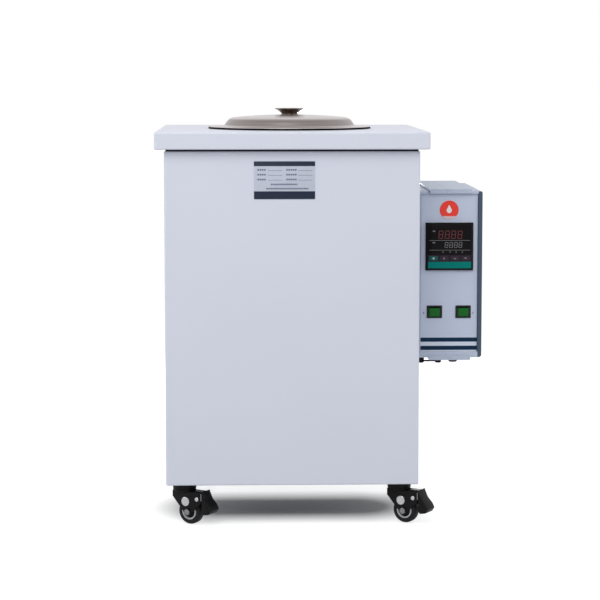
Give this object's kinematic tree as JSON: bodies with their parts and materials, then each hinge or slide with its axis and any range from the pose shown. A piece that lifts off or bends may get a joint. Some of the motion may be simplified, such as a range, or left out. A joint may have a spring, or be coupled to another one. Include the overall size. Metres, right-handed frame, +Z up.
{
  "type": "circulating water bath",
  "caption": "Free-standing circulating bath: a sheet-metal cabinet on braked castors with an insulated stainless tank, a round lid, a side control box, a pump and a drain valve.",
  "frame": {"origin": "Point on the floor under the middle of the cabinet.", "axes": "+Z is up, -Y is the front with the nameplate, and +X is the side with the control box."},
  "size_m": [0.651, 0.5723, 0.8048],
  "materials": {
    "powder_coat": "satin powder coat",
    "black_paint": "gloss black coat",
    "stainless": "brushed stainless steel",
    "zinc": "bright zinc plate",
    "brass": "machined brass",
    "cast_aluminium": "cast aluminium",
    "box_plastic": "fine moulded grain",
    "panel_plastic": "smooth, satin",
    "black_plastic": "gloss black",
    "green_plastic": "lit green lens",
    "black_rubber": "matte rubber",
    "wool": "mineral wool blanket",
    "foil": "printed foil, left blank"
  },
  "bodies": {
    "cabinet": {"base_frame": "powder_coat", "cabinet_shell": "powder_coat", "rear_panel": "powder_coat", "panel_screws": "zinc", "cover_seal": "black_rubber", "top_cover": "powder_coat", "nameplate": "foil", "tank": "stainless", "tank_stand": "powder_coat", "insulation_wrap": "wool", "heater": "stainless", "temperature_probe": "stainless", "pump_housing": "stainless", "pump_motor": "cast_aluminium", "pump_bracket": "powder_coat", "outlet_manifold": "stainless", "delivery_pipe": "stainless", "return_pipe": "stainless", "hose_nozzles": "brass", "drain_valve_body": "brass", "box_left_shell": "box_plastic", "box_right_shell": "box_plastic", "box_bracket": "black_plastic", "control_panel": "panel_plastic", "controller_case": "black_plastic", "controller_window": "black_plastic", "switch_housings": "black_plastic", "relay": "black_plastic", "cable_glands": "black_rubber", "castor_stems": "black_paint", "castor_nuts": "zinc"},
    "lid_assembly": {"lid": "stainless", "lid_seal": "black_rubber", "lid_knob": "stainless", "lid_knob_screw": "zinc"},
    "pump_rotor_body": {"pump_rotor": "stainless"},
    "drain_lever_body": {"drain_valve_lever": "black_paint", "drain_valve_ball": "stainless"},
    "pump_rocker_body": {"pump_rocker": "green_plastic"},
    "heater_rocker_body": {"heater_rocker": "green_plastic"},
    "key_set_body": {"key_set": "black_plastic"},
    "key_shift_body": {"key_shift": "black_plastic"},
    "key_down_body": {"key_down": "black_plastic"},
    "key_up_body": {"key_up": "black_plastic"},
    "castor_front_left_swivel": {"castor_front_left_fork": "black_paint", "castor_front_left_fasteners": "zinc"},
    "castor_front_left_wheel_body": {"castor_front_left_wheel": "black_rubber"},
    "castor_front_left_pedal_body": {"castor_front_left_pedal": "black_plastic"},
    "castor_front_right_swivel": {"castor_front_right_fork": "black_paint", "castor_front_right_fasteners": "zinc"},
    "castor_front_right_wheel_body": {"castor_front_right_wheel": "black_rubber"},
    "castor_front_right_pedal_body": {"castor_front_right_pedal": "black_plastic"},
    "castor_rear_left_swivel": {"castor_rear_left_fork": "black_paint", "castor_rear_left_fasteners": "zinc"},
    "castor_rear_left_wheel_body": {"castor_rear_left_wheel": "black_rubber"},
    "castor_rear_left_pedal_body": {"castor_rear_left_pedal": "black_plastic"},
    "castor_rear_right_swivel": {"castor_rear_right_fork": "black_paint", "castor_rear_right_fasteners": "zinc"},
    "castor_rear_right_wheel_body": {"castor_rear_right_wheel": "black_rubber"},
    "castor_rear_right_pedal_body": {"castor_rear_right_pedal": "black_plastic"}
  },
  "joints": [
    {"name": "lid_lift", "type": "slide", "parent": "cabinet", "child": "lid_assembly", "axis": [0, 0, 1], "range_m": [0, 0.35]},
    {"name": "pump_spin", "type": "hinge", "parent": "cabinet", "child": "pump_rotor_body", "pos_m": [-0.04666, 0, 0.157], "axis": [0, 1, 0], "continuous": true},
    {"name": "drain_lever_turn", "type": "hinge", "parent": "cabinet", "child": "drain_lever_body", "pos_m": [0.03, 0.26735, 0.157], "axis": [0, 0, 1], "range_deg": [0, 90]},
    {"name": "pump_rocker_tilt", "type": "hinge", "parent": "cabinet", "child": "pump_rocker_body", "pos_m": [0.29145, -0.063, 0.3953], "axis": [1, 0, 0], "range_deg": [-18, 0]},
    {"name": "heater_rocker_tilt", "type": "hinge", "parent": "cabinet", "child": "heater_rocker_body", "pos_m": [0.34955, -0.063, 0.3953], "axis": [1, 0, 0], "range_deg": [-18, 0]},
    {"name": "key_set_press", "type": "slide", "parent": "cabinet", "child": "key_set_body", "axis": [0, 1, 0], "range_m": [0, 0.0006], "stiffness_N_per_m": 2500},
    {"name": "key_shift_press", "type": "slide", "parent": "cabinet", "child": "key_shift_body", "axis": [0, 1, 0], "range_m": [0, 0.0006], "stiffness_N_per_m": 2500},
    {"name": "key_down_press", "type": "slide", "parent": "cabinet", "child": "key_down_body", "axis": [0, 1, 0], "range_m": [0, 0.0006], "stiffness_N_per_m": 2500},
    {"name": "key_up_press", "type": "slide", "parent": "cabinet", "child": "key_up_body", "axis": [0, 1, 0], "range_m": [0, 0.0006], "stiffness_N_per_m": 2500},
    {"name": "castor_front_left_swivel_turn", "type": "hinge", "parent": "cabinet", "child": "castor_front_left_swivel", "pos_m": [-0.21, -0.21, 0.068], "axis": [0, 0, 1], "continuous": true},
    {"name": "castor_front_left_wheel_spin", "type": "hinge", "parent": "castor_front_left_swivel", "child": "castor_front_left_wheel_body", "pos_m": [-0.19658, -0.21871, 0.025], "axis": [0.5446, 0.8387, 0], "continuous": true},
    {"name": "castor_front_left_brake_press", "type": "hinge", "parent": "castor_front_left_swivel", "child": "castor_front_left_pedal_body", "pos_m": [-0.17897, -0.23015, 0.052], "axis": [0.5446, 0.8387, 0], "range_deg": [0, 15]},
    {"name": "castor_front_right_swivel_turn", "type": "hinge", "parent": "cabinet", "child": "castor_front_right_swivel", "pos_m": [0.21, -0.21, 0.068], "axis": [0, 0, 1], "continuous": true},
    {"name": "castor_front_right_wheel_spin", "type": "hinge", "parent": "castor_front_right_swivel", "child": "castor_front_right_wheel_body", "pos_m": [0.22342, -0.21871, 0.025], "axis": [0.5446, 0.8387, 0], "continuous": true},
    {"name": "castor_front_right_brake_press", "type": "hinge", "parent": "castor_front_right_swivel", "child": "castor_front_right_pedal_body", "pos_m": [0.24103, -0.23015, 0.052], "axis": [0.5446, 0.8387, 0], "range_deg": [0, 15]},
    {"name": "castor_rear_left_swivel_turn", "type": "hinge", "parent": "cabinet", "child": "castor_rear_left_swivel", "pos_m": [-0.21, 0.21, 0.068], "axis": [0, 0, 1], "continuous": true},
    {"name": "castor_rear_left_wheel_spin", "type": "hinge", "parent": "castor_rear_left_swivel", "child": "castor_rear_left_wheel_body", "pos_m": [-0.19658, 0.20129, 0.025], "axis": [0.5446, 0.8387, 0], "continuous": true},
    {"name": "castor_rear_left_brake_press", "type": "hinge", "parent": "castor_rear_left_swivel", "child": "castor_rear_left_pedal_body", "pos_m": [-0.17897, 0.18985, 0.052], "axis": [0.5446, 0.8387, 0], "range_deg": [0, 15]},
    {"name": "castor_rear_right_swivel_turn", "type": "hinge", "parent": "cabinet", "child": "castor_rear_right_swivel", "pos_m": [0.21, 0.21, 0.068], "axis": [0, 0, 1], "continuous": true},
    {"name": "castor_rear_right_wheel_spin", "type": "hinge", "parent": "castor_rear_right_swivel", "child": "castor_rear_right_wheel_body", "pos_m": [0.22342, 0.20129, 0.025], "axis": [0.5446, 0.8387, 0], "continuous": true},
    {"name": "castor_rear_right_brake_press", "type": "hinge", "parent": "castor_rear_right_swivel", "child": "castor_rear_right_pedal_body", "pos_m": [0.24103, 0.18985, 0.052], "axis": [0.5446, 0.8387, 0], "range_deg": [0, 15]}
  ]
}
